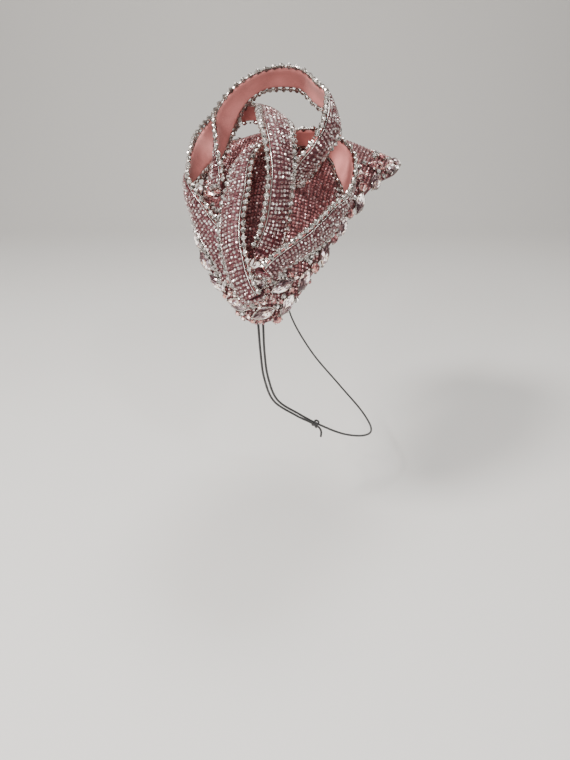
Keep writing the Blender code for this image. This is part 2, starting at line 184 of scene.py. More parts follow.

# Cut stones: each ring's height, scale and turn in half steps, from below up. Rings at one height
# split the flat table into facets that each carry a painted reflection
MESH_LEVELS = ((0.0, 1.0, 0), (0.45, 0.96, 0), (0.95, 0.50, 1))
CHAIN_LEVELS = ((0.7, 0.90, 0), (1.3, 1.0, 0), (1.9, 0.86, 1), (2.5, 0.52, 0), (2.5, 0.12, 1))
STUD_LEVELS = ((0.2, 0.8, 0), (0.9, 1.0, 0), (1.5, 0.5, 1))
ACCENT_LEVELS = ((0.2, 0.9, 0), (0.9, 1.0, 0), (1.5, 0.84, 1), (2.0, 0.5, 0))
ACCENT_RADIUS = 1.6
ACCENT_SPACING = 3.2
ACCENT_FROM_STONES = 4.3
ACCENT_FROM_RIBBONS = 9.0
END_ACCENT_FROM_STONES = 5.0
MESH_FROM_RIBBONS = 6.5
NAVETTE_LEVELS = (
    (0.5, 0.80, 0), (1.6, 0.95, 0), (2.0, 0.95, 0), (2.8, 0.80, 1), (3.5, 0.56, 0),
    (3.5, 0.34, 1), (3.5, 0.10, 0))
ROUND_LEVELS = (
    (0.5, 0.80, 0), (1.5, 0.96, 0), (1.9, 0.96, 0), (2.8, 0.80, 1), (3.4, 0.54, 0),
    (3.4, 0.14, 1))
DIAGONALS = (45, 135, 225, 315)

# Elastic
ELASTIC_DIAMETER = 1.6
RoutePoint = namedtuple("RoutePoint", "x y z")
ELASTIC_ROUTE = rows(RoutePoint, (
    (-14, -84.6, 46), (-13.5, -84.6, 38), (-13, -83.5, 20), (-11, -79, 0), (-5, -68, -22),
    (10, -58, -38), (25, -50, -51), (44, -37, -66), (62, -20, -77), (70, 0, -82), (64, 22, -77),
    (46, 42, -62), (22, 60, -38), (4, 74, -8), (0, 82, 25), (6, 83, 60), (15, 76, 88), (20, 67.5, 101),
    (21, 63.5, 107), (21, 61, 110.2),
))
SECOND_STRAND_ROUTE = rows(RoutePoint, (
    (-17, -84.4, 46), (-16.5, -84.6, 38), (-15.5, -83.5, 20), (-13.5, -80, 0), (-7.5, -69.5, -22),
    (7.5, -59.8, -38), (17, -56, -45.1), (22, -53.3, -49.5), (25, -52, -52.7), (26.3, -51.6, -56),
    (26, -51.6, -60),
))
KNOT_CENTRE = np.array((22.0, -52.4, -49.0))
KNOT_DIRECTION = np.array((0.70, 0.37, -0.61))
KNOT_RADIUS = 2.7
KNOT_CORD_DIAMETER = 1.5
CORD_SIDES = 10
CORD_STEP = 2.0

# Camera and stage
CAMERA_PLACE = (-0.010, -0.46795, 0.03879)
CAMERA_PITCH_DEGREES = 25.0
FOCAL_PIXELS = 658.0
PHOTO_HEIGHT_PIXELS = 760.0
SENSOR = 36.0
FLOOR_HEIGHT = -0.262
WORLD_COLOUR = (0.99, 0.96, 0.93)
WORLD_STRENGTH = 0.30
Light = namedtuple("Light", "name place size power colour")
LIGHTS = rows(Light, (
    ("key_light", (-0.70, -0.45, 0.85), 0.30, 20.0, (1.0, 0.97, 0.94)),
    ("side_light", (0.75, -0.35, 0.45), 0.16, 1.6, (1.0, 0.98, 0.96)),
    ("top_light", (0.10, 0.35, 0.95), 0.35, 7.0, (1.0, 0.99, 0.98)),
    ("spark_light_left", (-0.35, -0.60, 0.35), 0.06, 1.6, (1.0, 0.98, 0.96)),
    ("spark_light_right", (0.30, -0.70, 0.55), 0.06, 1.8, (1.0, 0.98, 0.96)),
    ("front_light", (-0.06, -0.80, 0.22), 0.25, 2.5, (1.0, 0.98, 0.97)),
))


# Shapes worked out with numpy


def unit(vectors):
    """Each vector over its own length."""
    return vectors / np.linalg.norm(vectors, axis=-1, keepdims=True)


def squared(vectors, axis):
    """What is left of each vector square to a unit axis, over its own length."""
    return unit(vectors - axis * np.sum(vectors * axis, -1, keepdims=True))


def step_lengths(points):
    return np.linalg.norm(np.diff(points, axis=-2), axis=-1)


def smooth_rows(table, places):
    """Columns of a table at fractional rows, on the cubic through the two rows on each side."""
    rows = np.array(table, float)
    rows = np.vstack([2 * rows[0] - rows[1], rows, 2 * rows[-1] - rows[-2]])
    places = np.asarray(places, float)
    start = np.clip(places.astype(int), 0, len(rows) - 4)
    part = (places - start)[..., None]
    p0, p1, p2, p3 = (rows[start + k] for k in range(4))
    bend = 2 * p0 - 5 * p1 + 4 * p2 - p3
    turn = 3 * p1 - 3 * p2 + p3 - p0
    return p1 + 0.5 * part * (p2 - p0 + part * (bend + part * turn))


def route_length(table):
    """Fractional rows and the distance travelled to each, along a table's first three columns."""
    places = np.linspace(0, len(table) - 1, FINE_STEPS)
    points = smooth_rows(table, places)[:, :3]
    return places, np.concatenate([[0], np.cumsum(step_lengths(points))])


def even_places(table, step, margin=0.0):
    """Fractional rows of a route at steps of nearly this length, margin in from both ends."""
    places, travelled = route_length(table)
    count = max(2, round((travelled[-1] - 2 * margin) / step) + 1)
    return np.interp(np.linspace(margin, travelled[-1] - margin, count), travelled, places)


def base_point(place, across):
    """Outer face: x and radius are parabolas across each section, turned round the hollow by arc."""
    columns = np.moveaxis(smooth_rows(BASE_TABLE, place), -1, 0)
    arc, back_x, back_r, mid_x, mid_r, front_x, front_r = columns
    x = mid_x + (front_x - back_x) / 2 * across + ((front_x + back_x) / 2 - mid_x) * across**2
    radius = mid_r + (front_r - back_r) / 2 * across
    radius = radius + ((front_r + back_r) / 2 - mid_r) * across**2
    angle = np.radians(arc)
    return np.stack([x, -radius * np.cos(angle), ARC_CENTRE_HEIGHT + radius * np.sin(angle)], -1)


def base_frame(place, across):
    """Point on the outer face, with its directions along the rim, across and outwards."""
    place = np.asarray(place, float)
    across = np.asarray(across, float)
    place, across = np.broadcast_arrays(place, across)
    point = base_point(place, across)
    last = len(BASE_TABLE) - 1
    ahead = base_point(np.minimum(place + SLOPE_STEP, last), across)
    along = unit(ahead - base_point(np.maximum(place - SLOPE_STEP, 0), across))
    aside = base_point(place, across + SLOPE_STEP) - base_point(place, across - SLOPE_STEP)
    outward = unit(np.cross(along, aside))
    spoke = point - np.stack([point[..., 0], 0 * place, 0 * place + ARC_CENTRE_HEIGHT], -1)
    outward = outward * np.sign(np.sum(outward * spoke, -1))[..., None]
    return point, along, np.cross(outward, along), outward


def arc_to_place(arc):
    return np.interp(arc, [row.arc for row in BASE_TABLE], np.arange(len(BASE_TABLE)))


def ribbon_frame(table, places):
    """Middle of the band, with its directions along, to the front edge and outwards."""
    values = smooth_rows(table, places)
    point = values[:, :3]
    along = unit(np.gradient(point, axis=0))
    width = squared(values[:, 3:], along)
    return point, along, width, np.cross(width, along)


def circles(points, along, helper, radius, sides):
    """Circle at each point, square to its direction and started from the helper's side."""
    first = unit(np.cross(along, helper))
    second = np.cross(along, first)
    angle = np.arange(sides) * 2 * pi / sides
    circle = np.cos(angle)[:, None] * first[:, None] + np.sin(angle)[:, None] * second[:, None]
    return points[:, None] + radius * circle


def tube_rings(points, radius, sides):
    """Circles along an open path, started from the axis that the path leans to least."""
    along = unit(np.gradient(points, axis=0))
    return circles(points, along, np.eye(3)[np.argmin(np.abs(along.mean(0)))], radius, sides)


# Polygons: flat lists of corners, kept as arrays

Shape = namedtuple("Shape", "points corners sizes")


def merged(*shapes):
    """Several shapes as one, with each one's corners moved past the points before it."""
    starts = np.cumsum([0] + [len(shape.points) for shape in shapes[:-1]])
    return Shape(
        np.vstack([shape.points for shape in shapes]),
        np.concatenate([shape.corners + start for shape, start in zip(shapes, starts)]),
        np.concatenate([shape.sizes for shape in shapes]),
    )


def ring_shape(rings, closed=False):
    """Skin over rings of equal size: four-cornered faces, and a cap at each open end."""
    count, sides = rings.shape[:2]
    rows = count if closed else count - 1
    i, j = np.meshgrid(np.arange(rows), np.arange(sides), indexing="ij")
    after, beside = (i + 1) % count, (j + 1) % sides
    faces = np.stack([i * sides + j, i * sides + beside, after * sides + beside, after * sides + j], -1)
    corners, sizes = faces.reshape(-1), np.full(rows * sides, 4)
    if not closed:
        bottom = np.arange(sides)[::-1]
        top = np.arange(sides) + (count - 1) * sides
        corners = np.concatenate([corners, bottom, top])
        sizes = np.concatenate([sizes, [sides, sides]])
    return Shape(rings.reshape(-1, 3), corners, sizes)


def oval(angle):
    return np.stack([np.cos(angle), np.sin(angle)], -1)


def pointed_oval(angle):
    """Half length times cosine by half width times sine times its own size: both ends pointed."""
    return np.stack([np.cos(angle), np.sin(angle) * np.abs(np.sin(angle))], -1)


def cut_stone(outline, half_length, half_width, sides, levels):
    """Rings of an outline at each level (height, scale, turn in half steps), joined by facets."""
    half_size = np.array((half_length, half_width))
    rings, corners, sizes = [], [], []
    k = np.arange(sides)
    for height, scale, turn in levels:
        flat = outline((k + turn / 2) * 2 * pi / sides) * half_size * scale
        rings.append(np.column_stack([flat, np.full(sides, height)]))
    for level, ((_, _, low), (_, _, high)) in enumerate(zip(levels, levels[1:])):
        a, b = level * sides + k, (level + 1) * sides + k
        a2, b2 = np.roll(a, -1), np.roll(b, -1)
        if low == high:
            facets = [[a, a2, b2, b]]
        elif low < high:
            facets = [[a, a2, b], [a2, b2, b]]
        else:
            facets = [[a, a2, b2], [a, b2, b]]
        corners.append(np.stack(sum(facets, []), -1).ravel())
        sizes.append(np.full(sides * len(facets), len(facets[0])))
    corners += [k[::-1], k + (len(levels) - 1) * sides]
    sizes.append(np.array([sides, sides]))
    return Shape(np.vstack(rings), np.concatenate(corners), np.concatenate(sizes))


def prong(angle, reach, foot, top, thickness):
    """Small claw: a four-sided peg on a circle of this reach, its tip bent in over the stone."""
    out = np.array((cos(angle), sin(angle), 0.0))
    beside = np.array((-sin(angle), cos(angle), 0.0))
    up = np.array((0.0, 0.0, 1.0))
    levels = ((foot, 0.0, 1.0), (top * 0.8, 0.0, 0.9), (top, -0.9 * thickness, 0.6))
    rings = []
    for height, lean, scale in levels:
        centre = out * (reach + lean) + up * height
        square = [(1, -1), (1, 1), (-1, 1), (-1, -1)]
        rings.append([centre + (out * a + beside * b) * thickness * scale / 2 for a, b in square])
    return ring_shape(np.array(rings))


def pronged_cup(outline, half_length, half_width, sides, depth, angles, peg):
    """Shallow metal cup under a stone, with a claw at each of the angles."""
    levels = (
        (0.0, 0.80, 0), (depth * 0.5, 1.0, 0), (depth, 1.07, 0), (depth, 0.90, 0),
        (depth * 0.6, 0.85, 0))
    parts = [cut_stone(outline, half_length, half_width, sides, levels)]
    for angle in angles:
        spot = outline(np.array(radians(angle))) * (half_length, half_width)
        reach, direction = np.hypot(*spot), np.arctan2(spot[1], spot[0])
        parts.append(prong(direction, reach * 1.04, depth * 0.3, depth + 1.1 * peg, peg))
    return merged(*parts)


def copies(shape, seats):
    """The shape set down at every seat: point, long side, short side and up."""
    point, long_side, short_side, up = (np.asarray(a, float).reshape(-1, 3) for a in seats)
    turned = np.stack([long_side, short_side, up], 1)
    points = point[:, None] + np.einsum("pk,nkc->npc", shape.points, turned)
    shift = np.arange(len(point)) * len(shape.points)
    corners = (shape.corners[None] + shift[:, None]).ravel()
    return Shape(points.reshape(-1, 3), corners, np.tile(shape.sizes, len(point)))


def stone_seats(stones, lift):
    """Seats of tabled stones on the base, each turned about the outward direction."""
    table = np.array(stones, float)
    point, along, aside, outward = base_frame(arc_to_place(table[:, 0]), table[:, 1])
    turn = np.radians(table[:, 2])[:, None]
    long_side = along * np.cos(turn) + aside * np.sin(turn)
    return point + outward * lift, long_side, np.cross(outward, long_side), outward


# Putting shapes into the scene


def face_starts(sizes):
    return np.concatenate([[0], np.cumsum(sizes)[:-1]])


def add_mesh(name, shape, *finishes, smooth=False, tint=None, facet=None, slots=None, uv=None):
    """New object at the origin from a shape in the tables' millimetres, with its own attributes."""
    old = bpy.data.objects.get(name)
    if old is not None:
        bpy.data.objects.remove(old, do_unlink=True)
    mesh = bpy.data.meshes.new(name)
    mesh.vertices.add(len(shape.points))
    mesh.loops.add(len(shape.corners))
    mesh.polygons.add(len(shape.sizes))
    placed = (shape.points - CROWN_SEAT) * MM
    mesh.vertices.foreach_set("co", placed.astype(np.float32).ravel())
    mesh.polygons.foreach_set("loop_start", face_starts(shape.sizes).astype(np.int32))
    mesh.loops.foreach_set("vertex_index", shape.corners.astype(np.int32))
    mesh.polygons.foreach_set("use_smooth", np.full(len(shape.sizes), smooth))
    for finish in finishes:
        mesh.materials.append(get_material(finish))
    if slots is not None:
        mesh.polygons.foreach_set("material_index", slots.astype(np.int32))
    # tint is each stone's own colour; facet holds the painted reflection of each facet
    for key, domain, data in (("tint", "POINT", tint), ("facet", "FACE", facet)):
        if data is not None:
            values = mesh.attributes.new(key, "FLOAT", domain).data
            values.foreach_set("value", data.astype(np.float32))
    if uv is not None:
        mesh.uv_layers.new(name="weave").data.foreach_set("uv", uv.astype(np.float32).ravel())
    mesh.update(calc_edges=True)
    if mesh.validate():
        raise RuntimeError(f"{name} had faces that a mesh can't hold")
    item = bpy.data.objects.new(name, mesh)
    bpy.context.scene.collection.objects.link(item)
    return item


def place_piece(item, nodes=()):
    """Rides on the one body and stands for these solids."""
    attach(item, BODY)
    if nodes:
        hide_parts(*nodes)
    return item


def add_stones(name, stone, seats, finish, stream, painted_side_share=0.3, nodes=()):
    """A cut stone set down at every seat, with its own tint and painted facet reflections."""
    tint, facet = stone_values(stone, len(seats[0]), stream, painted_side_share)
    item = add_mesh(name, copies(stone, seats), finish, tint=tint, facet=facet)
    place_piece(item, nodes)


def add_metal(name, shape, smooth=False):
    place_piece(add_mesh(name, shape, "bright_silver", smooth=smooth))


def set_stones(kind, tables, stone, cup, finish, stream, painted_side_share):
    """Each rim's stones in their settings, standing for the solids of the same name."""
    for number, (label, table) in enumerate(tables.items(), stream):
        seats = stone_seats(table, SEAT_GAP)
        start = f"{label}_{kind}_"
        nodes = [node for node in NODES if node.startswith(start)]
        add_stones(start + "stones", stone, seats, finish, number, painted_side_share, nodes)
        add_metal(start + "settings", copies(cup, seats))


def random_values(count, stream):
    return np.random.default_rng(SEED + stream).random(count)


# Finishes: each function takes the place on the mesh and gives the shader's sockets


class Link:
    """A shader socket used in Python maths: each operator adds its Math node."""

    def __init__(self, tree, socket=None):
        self.tree = tree
        self.socket = socket

    def node(self, kind, settings=None, inputs=None, output=0):
        """A shader node: its settings first, then its sockets' values or links."""
        made = self.tree.nodes.new(kind)
        for key, value in (settings or {}).items():
            setattr(made, key, value)
        for key, value in (inputs or {}).items():
            self.feed(made.inputs[key], value)
        return Link(self.tree, made.outputs[output])

    def feed(self, socket, value):
        if isinstance(value, Link):
            self.tree.links.new(value.socket, socket)
        else:
            socket.default_value = value

    def maths(self, operation, first, second=0.0):
        return self.node("ShaderNodeMath", {"operation": operation}, {0: first, 1: second})

    def __add__(self, other):
        return self.maths("ADD", self, other)

    def __sub__(self, other):
        return self.maths("SUBTRACT", self, other)

    def __rsub__(self, other):
        return self.maths("SUBTRACT", other, self)

    def __mul__(self, other):
        return self.maths("MULTIPLY", self, other)

    def sine(self):
        return self.maths("SINE", self)

    def noise(self, scale, detail=3.0):
        """Noise over the place that this link carries."""
        inputs = {"Vector": self, "Scale": scale, "Detail": detail}
        return self.node("ShaderNodeTexNoise", None, inputs)

    def read_value(self, key):
        return self.node("ShaderNodeAttribute", {"attribute_name": key}, output="Fac")

    def ramp(self, *stops):
        made = self.node("ShaderNodeValToRGB", None, {0: self})
        elements = made.socket.node.color_ramp.elements
        while len(elements) < len(stops):
            elements.new(0.5)
        for element, (position, colour) in zip(elements, stops):
            element.position = position
            element.color = (*colour, 1.0)
        return made

    def shades(self, colour, *stops):
        """Ramp over darker and lighter shades of one colour."""
        return self.ramp(*[(place, shade_of(colour, factor)) for place, factor in stops])

    def bump(self, strength, distance):
        inputs = {"Height": self, "Strength": strength, "Distance": distance}
        return self.node("ShaderNodeBump", None, inputs)


def shade_of(colour, factor):
    return tuple(min(channel * factor, 1.0) for channel in colour)


def velvet(place, colour):
    """Short-pile lining: soft patches where the pile lies over, and a fine nap."""
    patches, nap = place.noise(55.0), place.noise(1400.0, 2.0)
    look = (patches * 0.75 + nap * 0.25).shades(colour, (0.30, 0.62), (0.52, 1.0), (0.72, 1.2))
    return {
        "Base Color": look, "Roughness": 0.92, "Specular IOR Level": 0.2, "Sheen Weight": 0.30,
        "Sheen Roughness": 0.45, "Sheen Tint": (1.0, 0.72, 0.68, 1.0),
        "Normal": (nap * 0.6 + patches * 0.4).bump(0.35, 0.0004)}


def dotted_net(place, colour):
    """Metal-dotted net under the small stones: a dark ground with worn bright specks."""
    cells = place.node(
        "ShaderNodeTexVoronoi", {"feature": "F1"}, {"Vector": place, "Scale": 620.0})
    look = cells * 0.7 + place.noise(90.0) * 0.5
    return {
        "Base Color": look.shades(colour, (0.25, 1.7), (0.5, 1.0), (0.8, 0.55)),
        "Roughness": cells * 0.5 + 0.28, "Metallic": 0.35, "Normal": cells.bump(0.5, 0.0005)}


def cut_glass(place, look, stops, roughness, metallic, sparkle, coat, painted_glint_from):
    """Foil-backed cut glass: each facet shows its own painted reflection under a clear hard surface;
    the brightest facets also glow with a painted glint.
    """
    facet, tint = place.read_value("facet"), place.read_value("tint")
    # Colour mixes the stone's own tint with the facet's painted reflection; sparkle is the painted share
    shade = facet * sparkle + tint * (1.0 - sparkle) + place.noise(160.0) * 0.12 - 0.06
    colours = dict(PALETTE, rose=look.rose_colour, pale=look.pale_colour, clear=look.clear_colour)
    stops = [(at, shade_of(colours[colour], factor)) for at, colour, factor in stops]
    # Painted glint: the brightest facets glow through Emission, though they are no lamp
    painted_glint_stops = ((painted_glint_from, (0.0, 0.0, 0.0)), (painted_glint_from + 0.12, PALETTE["glint"]))
    return {
        "Base Color": shade.ramp(*stops), "Roughness": facet * 0.10 + roughness,
        "Metallic": metallic, "IOR": 1.55, "Coat Weight": coat, "Coat Roughness": 0.03,
        "Specular IOR Level": 0.5, "Emission Color": (facet * 0.8 + tint * 0.2).ramp(*painted_glint_stops),
        "Emission Strength": 1.1}


def plated(place, colour):
    """Bright plated metal, a little duller in patches."""
    cloud = place.noise(300.0)
    look = cloud.shades(colour, (0.3, 0.7), (0.6, 1.0), (0.8, 1.12))
    return {"Base Color": look, "Roughness": cloud * 0.25 + 0.1, "Metallic": 1.0}


def covered_elastic(place, colour):
    """Crossing threads round the cord, from its own weave coordinates."""
    weave = place.node("ShaderNodeUVMap", {"uv_map": "weave"})
    along = place.node("ShaderNodeSeparateXYZ", None, {0: weave})
    around = place.node("ShaderNodeSeparateXYZ", None, {0: weave}, output=1)
    right = (along * 3.0 + around * 8.0) * (2 * pi)
    left = (along * 3.0 - around * 8.0) * (2 * pi)
    threads = right.sine() * left.sine() * 0.5 + 0.5
    look = threads * 0.7 + place.noise(700.0) * 0.3
    return {
        "Base Color": look.shades(colour, (0.2, 0.6), (0.6, 1.0), (0.9, 2.6)), "Sheen Weight": 0.25,
        "Roughness": 0.62 - threads * 0.12, "Normal": threads.bump(0.6, 0.0002)}


def paper(place, colour):
    look = place.noise(3.0).shades(colour, (0.3, 0.985), (0.7, 1.0))
    return {"Base Color": look, "Roughness": 0.9, "Specular IOR Level": 0.1}


# Colours that aren't in the panel; the last, glint, is the glow of the painted glints on the brightest
# facets
PALETTE = {
    "black": (0.03, 0.03, 0.03), "dark": (0.06, 0.015, 0.02), "plum": (0.05, 0.025, 0.03),
    "mauve": (0.20, 0.11, 0.11), "lilac": (0.36, 0.28, 0.36), "amber": (0.92, 0.62, 0.38),
    "coral": (0.78, 0.36, 0.28), "blush": (1.0, 0.80, 0.72), "white": (1.0, 0.96, 0.94),
    "glint": (1.0, 0.93, 0.87),
}
# Ramp stops (position, colour, factor), darkest first: they colour a mix of each stone's own tint
# and its facets' painted reflection, so the brightest stops are painted highlights. Sparkle is the
# share of painted reflection, and the last number is where the painted glint begins to glow
StoneFinish = namedtuple("StoneFinish", "stops roughness metallic sparkle coat glint_from")
STONE_FINISHES = {
    "rose_mesh_stone": StoneFinish((
        (0.12, "dark", 1), (0.40, "rose", 0.32), (0.62, "rose", 0.78), (0.82, "pale", 0.55),
        (0.98, "pale", 0.9)), 0.12, 0.3, 0.66, 0.3, 0.92),
    "mixed_mesh_stone": StoneFinish((
        (0.14, "dark", 1), (0.38, "rose", 0.40), (0.56, "pale", 0.36), (0.72, "clear", 0.44),
        (0.88, "white", 1)), 0.08, 0.35, 0.64, 0.35, 0.78),
    "clear_chain_stone": StoneFinish((
        (0.16, "black", 1), (0.40, "clear", 0.22), (0.58, "clear", 0.6), (0.76, "white", 1),
    ), 0.05, 0.4, 0.9, 0.6, 0.78),
    "pale_navette_stone": StoneFinish((
        (0.24, "plum", 1), (0.40, "mauve", 1), (0.51, "pale", 0.38), (0.59, "lilac", 1),
        (0.67, "amber", 1), (0.75, "white", 1)), 0.04, 0.15, 0.94, 0.35, 0.60),
    "rose_round_stone": StoneFinish((
        (0.20, "dark", 1), (0.36, "rose", 0.4), (0.52, "rose", 0.9), (0.66, "coral", 1),
        (0.82, "blush", 1)), 0.05, 0.2, 0.92, 0.5, 0.72),
}


def get_material(name):
    """The named finish, made on first use from the colours in the panel."""
    found = bpy.data.materials.get(name)
    if found is not None:
        return found
    look = bpy.context.scene.fascinator
    material = bpy.data.materials.new(name)
    material.use_nodes = True
    place = Link(material.node_tree).node("ShaderNodeTexCoord", output="Object")
    if name in STONE_FINISHES:
        sockets = cut_glass(place, look, *STONE_FINISHES[name])
    else:
        maker, colour = {
            "velvet_lining": (velvet, look.lining_colour),
            "base_backing": (dotted_net, look.base_colour),
            "ribbon_backing": (dotted_net, shade_of(PALETTE["dark"], 1.8)),
            "bright_silver": (plated, look.metal_colour),
            "elastic_cover": (covered_elastic, look.elastic_colour),
            "stage_paper": (paper, look.stage_colour),
        }[name]
        sockets = maker(place, colour)
    shader = material.node_tree.nodes["Principled BSDF"]
    for key, value in sockets.items():
        place.feed(shader.inputs[key], value)
    return material


def facet_angles(stone):
    """Direction of each facet's middle, seen from above the stone."""
    middle = np.add.reduceat(stone.points[stone.corners], face_starts(stone.sizes))
    middle = middle / stone.sizes[:, None]
    return np.arctan2(middle[:, 1], middle[:, 0])


def stone_values(stone, count, stream, painted_side_share):
    """A tint for each stone and a painted reflection for each facet, to be read by the finish.

    The tint is random. A facet's shade is painted reflection: part random and part a painted
    lit or shaded side; facets with more than four corners, which are the tables, get a painted
    highlight and the others painted shade.
    """
    tint = np.repeat(random_values(count, stream), len(stone.points))
    facet = random_values(count * len(stone.sizes), FACET_STREAM + stream)
    # Painted light: each stone gets a random direction, its facets lit on that side and shaded on the
    # other
    light_from = random_values(count, LIGHT_STREAM + stream) * 2 * pi
    sides = 0.5 + 0.5 * np.sin(facet_angles(stone)[None] + light_from[:, None]).ravel()
    # Painted highlight on the tables and painted shade on all other facets
    top = np.tile(np.where(stone.sizes > 4, TABLE_PAINTED_HIGHLIGHT, -SIDES_PAINTED_SHADE), count)
    return tint, np.clip(facet * (1 - painted_side_share) + sides * painted_side_share + top, 0, 1)


def tilted(seats, amount, stream):
    """Seats leaning and shifted a little at random, as stones set by hand are."""
    point, long_side, short_side, up = (np.asarray(a, float).reshape(-1, 3) for a in seats)
    lean = random_values(2 * len(point), TILT_STREAM + stream) - 0.5
    lean = lean.reshape(-1, 2) * 2 * amount
    aside = long_side * lean[:, :1] + short_side * lean[:, 1:]
    point, up = point + aside * SHIFT_PER_LEAN, unit(up + aside)
    long_side = squared(long_side, up)
    return [point, long_side, np.cross(up, long_side), up]


# Settings


def colour_setting(name, description, default):
    return bpy.props.FloatVectorProperty(
        name=name, description=description, default=default, subtype="COLOR", size=3, min=0, max=1)


def length_setting(name, description, default):
    return bpy.props.FloatProperty(
        name=name, description=description, default=default, unit="LENGTH", min=0.0005, max=0.05)


class FascinatorSettings(bpy.types.PropertyGroup):
    """Sizes and colours that a user may change before building."""

    mesh_pitch: length_setting("Mesh pitch", "Distance between small stones of the mesh", 0.00236)
    mesh_stone: length_setting("Mesh stone", "Diameter of a small mesh stone", 0.0021)
    chain_pitch: length_setting("Chain pitch", "Distance between stones of the edge chain", 0.0046)
    chain_stone: length_setting("Chain stone", "Diameter of an edge chain stone", 0.0033)
    lining_colour: colour_setting("Lining", "Velvet on the ribbons' inner faces", (0.58, 0.212, 0.195))
    base_colour: colour_setting("Base", "Ground under the small stones", (0.13, 0.045, 0.050))
    rose_colour: colour_setting("Rose stones", "Deep pink stones", (0.56, 0.21, 0.215))
    pale_colour: colour_setting("Pale stones", "Pale pink stones", (0.88, 0.66, 0.65))
    clear_colour: colour_setting("Clear stones", "Colourless stones", (0.84, 0.78, 0.73))
    metal_colour: colour_setting("Metal", "Settings, cups and edge wires", (0.64, 0.60, 0.56))
    elastic_colour: colour_setting("Elastic", "Cover of the chin elastic", (0.012, 0.011, 0.012))
    stage_colour: colour_setting("Stage", "Floor and backdrop", (0.74, 0.725, 0.70))


# Pieces


class BuildPiece:
    """Shared by the operators: each one makes its pieces and reports that it is done."""

    bl_options = {"REGISTER", "UNDO"}

    def execute(self, context):
        self.build(context.scene.fascinator)
        return {"FINISHED"}


def all_ribbon_points(step):
    """Points down the middle of every ribbon, used to keep stones out of them."""
    return np.vstack([smooth_rows(table, even_places(table, step))[:, :3] for table in LOOPS.values()])


def clear_of(points, others, distance):
    """True where a point is further than this from every other point."""
    gaps = np.linalg.norm(points[:, None] - others[None], axis=-1)
    return gaps.min(1) > distance


class FASCINATOR_OT_base(BuildPiece, bpy.types.Operator):
    """Curved leaf-shaped shell under all the stones"""

    bl_idname = "fascinator.base"
    bl_label = "Base shell"

    def build(self, look):
        """Each section's ring runs over the outer face and back inside, one thickness down."""
        place = np.linspace(0, len(BASE_TABLE) - 1, BASE_ROWS)[:, None]
        outer, _, _, outward = base_frame(place, np.linspace(-1, 1, BASE_COLUMNS)[None])
        rings = there_and_back(outer, outer - outward * BASE_THICKNESS)[:, ::-1]
        item = add_mesh("base_fabric", ring_shape(rings), "base_backing", smooth=True)
        item.data.set_sharp_from_angle(angle=radians(50))
        place_piece(item, ["base_shell"])


class FASCINATOR_OT_base_stones(BuildPiece, bpy.types.Operator):
    """Field of small rose stones in even rows over the base"""

    bl_idname = "fascinator.base_stones"
    bl_label = "Base mesh stones"

    def build(self, look):
        """Rows at one pitch along the middle line; in each row, stones one pitch apart."""
        pitch = look.mesh_pitch / MM
        middle = base_point(np.arange(len(BASE_TABLE), dtype=float), 0.0)
        place = even_places(middle, pitch)
        lines = base_point(place[:, None], np.linspace(-1, 1, 2 * HALF_STEPS + 1)[None])
        steps = step_lengths(lines)
        back, front = steps[:, :HALF_STEPS].sum(1), steps[:, HALF_STEPS:].sum(1)
        reach = int(max(back.max(), front.max()) / pitch)
        distance = np.arange(-reach, reach + 1) * pitch
        share = np.where(distance < 0, distance / back[:, None], distance / front[:, None])
        keep = np.abs(share) < 0.985
        point, along, aside, outward = base_frame(place[np.nonzero(keep)[0]], share[keep])
        free = clear_of(point, all_ribbon_points(3.0), MESH_FROM_RIBBONS)
        seats = [a[free] for a in (point + outward * 0.05, along, aside, outward)]
        add_stones("base_mesh_stones", mesh_stone(look), tilted(seats, BASE_TILT, 0),
                   "rose_mesh_stone", 1)


def mesh_stone(look):
    """Six-sided stone with a sloped crown round its table."""
    radius = look.mesh_stone / MM / 2
    return cut_stone(oval, radius, radius, 6, MESH_LEVELS)


def there_and_back(outer, inner):
    """Rings that run over the outer face and back over the inner one."""
    return np.concatenate([outer, inner[:, ::-1]], axis=1)


def band_rings(point, side, up, narrow=1.0):
    """Across the band the height is a parabola; the thickness fades near both edges."""
    share = np.sin(np.linspace(-1, 1, BAND_COLUMNS) * radians(86))
    narrow = np.broadcast_to(narrow, len(point))[:, None]
    arch = RIBBON_CROWN * (1 - share**2) * narrow
    half = RIBBON_THICKNESS / 2 * (1 - share**8) ** 0.5
    middle = point[:, None] + side[:, None] * (share * RIBBON_WIDTH / 2 * narrow)[..., None]
    up = up[:, None]
    return there_and_back(middle + up * (arch + half)[..., None], middle + up * (arch - half)[..., None])


class FASCINATOR_OT_ribbons(BuildPiece, bpy.types.Operator):
    """Three looped bands: velvet inside, net for the small stones outside"""

    bl_idname = "fascinator.ribbons"
    bl_label = "Ribbon bands"

    def build(self, look):
        """The band's cross-section along each loop, lined on the inner face and the ends."""
        finishes = ("ribbon_backing", "velvet_lining")
        for name, table in LOOPS.items():
            point, _, width, outward = ribbon_frame(table, even_places(table, RIBBON_STEP))
            column = np.tile(np.arange(2 * BAND_COLUMNS), len(point) - 1)
            slots = np.concatenate([(column >= BAND_COLUMNS - 1).astype(int), [1, 1]])
            shape = ring_shape(band_rings(point, width, outward))
            item = add_mesh(name + "_band", shape, *finishes, smooth=True, slots=slots)
            place_piece(item, [name + "_ribbon"])


